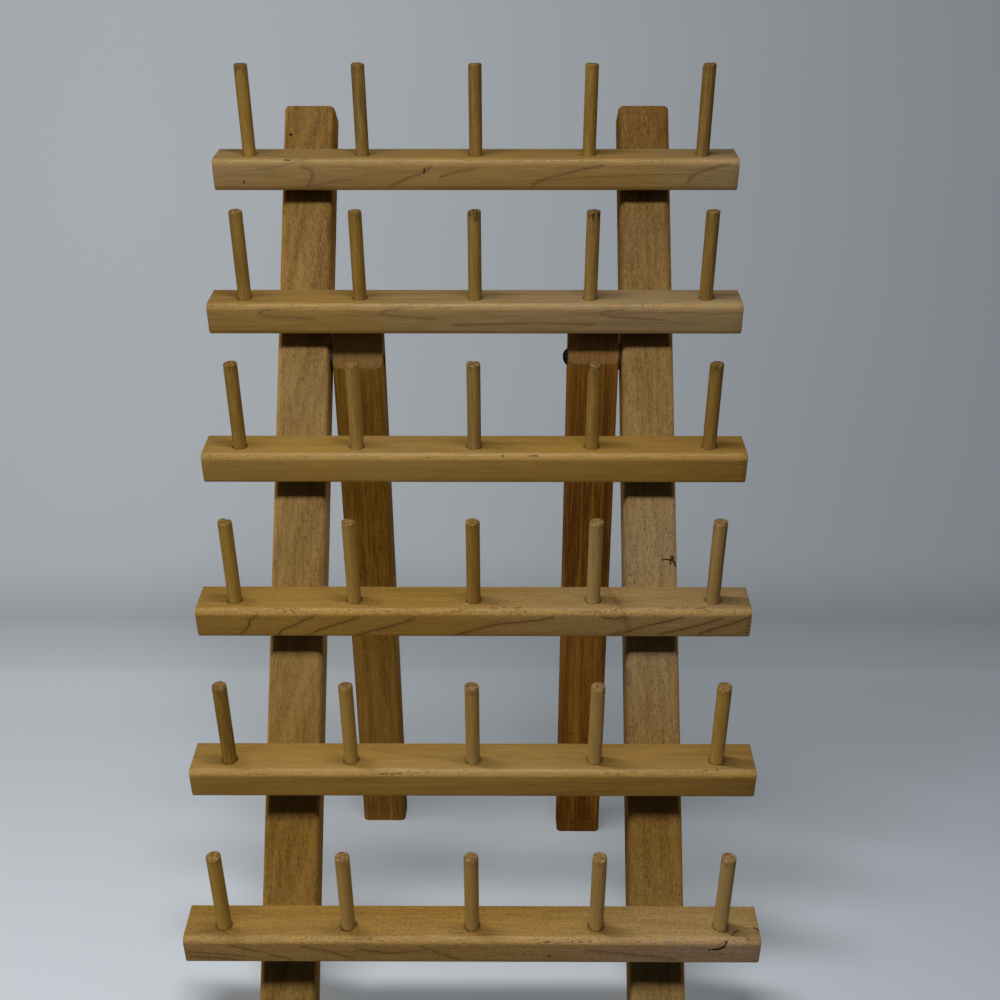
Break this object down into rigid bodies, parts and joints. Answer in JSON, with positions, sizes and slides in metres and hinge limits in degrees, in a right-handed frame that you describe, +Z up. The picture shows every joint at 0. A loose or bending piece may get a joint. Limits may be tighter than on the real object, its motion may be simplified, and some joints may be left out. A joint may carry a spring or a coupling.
{
  "type": "thread spool rack",
  "caption": "Free-standing wooden rack with rows of tilted dowel pegs on cross bars, leaning posts and folding rear legs, for holding spools of thread.",
  "frame": {"origin": "on the floor, at the middle of the footprint with the legs open", "axes": "+X along the bars to the right as seen from the front, +Y from the front to the back, +Z up"},
  "size_m": [0.26, 0.2188, 0.4323],
  "materials": {
    "bar_wood": "pale hardwood, sanded, clear satin",
    "peg_wood": "birch dowel, sanded",
    "post_wood": "beech with ray flecks, sanded, clear satin",
    "leg_wood": "redder beech, sanded, clear satin",
    "black_steel": "blackened steel",
    "screw_steel": "zinc plated steel"
  },
  "bodies": {
    "frame": {"left_upright": "post_wood", "right_upright": "post_wood", "pivot_screws": "black_steel", "pivot_washers": "black_steel", "bar_screws": "screw_steel", "bar_1": "bar_wood", "bar_2": "bar_wood", "bar_3": "bar_wood", "bar_4": "bar_wood", "bar_5": "bar_wood", "bar_6": "bar_wood", "peg_r1_c1": "peg_wood", "peg_r1_c2": "peg_wood", "peg_r1_c3": "peg_wood", "peg_r1_c4": "peg_wood", "peg_r1_c5": "peg_wood", "peg_r2_c1": "peg_wood", "peg_r2_c2": "peg_wood", "peg_r2_c3": "peg_wood", "peg_r2_c4": "peg_wood", "peg_r2_c5": "peg_wood", "peg_r3_c1": "peg_wood", "peg_r3_c2": "peg_wood", "peg_r3_c3": "peg_wood", "peg_r3_c4": "peg_wood", "peg_r3_c5": "peg_wood", "peg_r4_c1": "peg_wood", "peg_r4_c2": "peg_wood", "peg_r4_c3": "peg_wood", "peg_r4_c4": "peg_wood", "peg_r4_c5": "peg_wood", "peg_r5_c1": "peg_wood", "peg_r5_c2": "peg_wood", "peg_r5_c3": "peg_wood", "peg_r5_c4": "peg_wood", "peg_r5_c5": "peg_wood", "peg_r6_c1": "peg_wood", "peg_r6_c2": "peg_wood", "peg_r6_c3": "peg_wood", "peg_r6_c4": "peg_wood", "peg_r6_c5": "peg_wood"},
    "left_leg": {"left_rear_leg": "leg_wood"},
    "right_leg": {"right_rear_leg": "leg_wood"}
  },
  "joints": [
    {"name": "left_leg_fold", "type": "hinge", "parent": "frame", "child": "left_leg", "pos_m": [-0.05835, 0.02599, 0.29182], "axis": [-1, 0, 0], "range_deg": [0, 36.7]},
    {"name": "right_leg_fold", "type": "hinge", "parent": "frame", "child": "right_leg", "pos_m": [0.05835, 0.02599, 0.29182], "axis": [-1, 0, 0], "range_deg": [0, 34.3]}
  ]
}
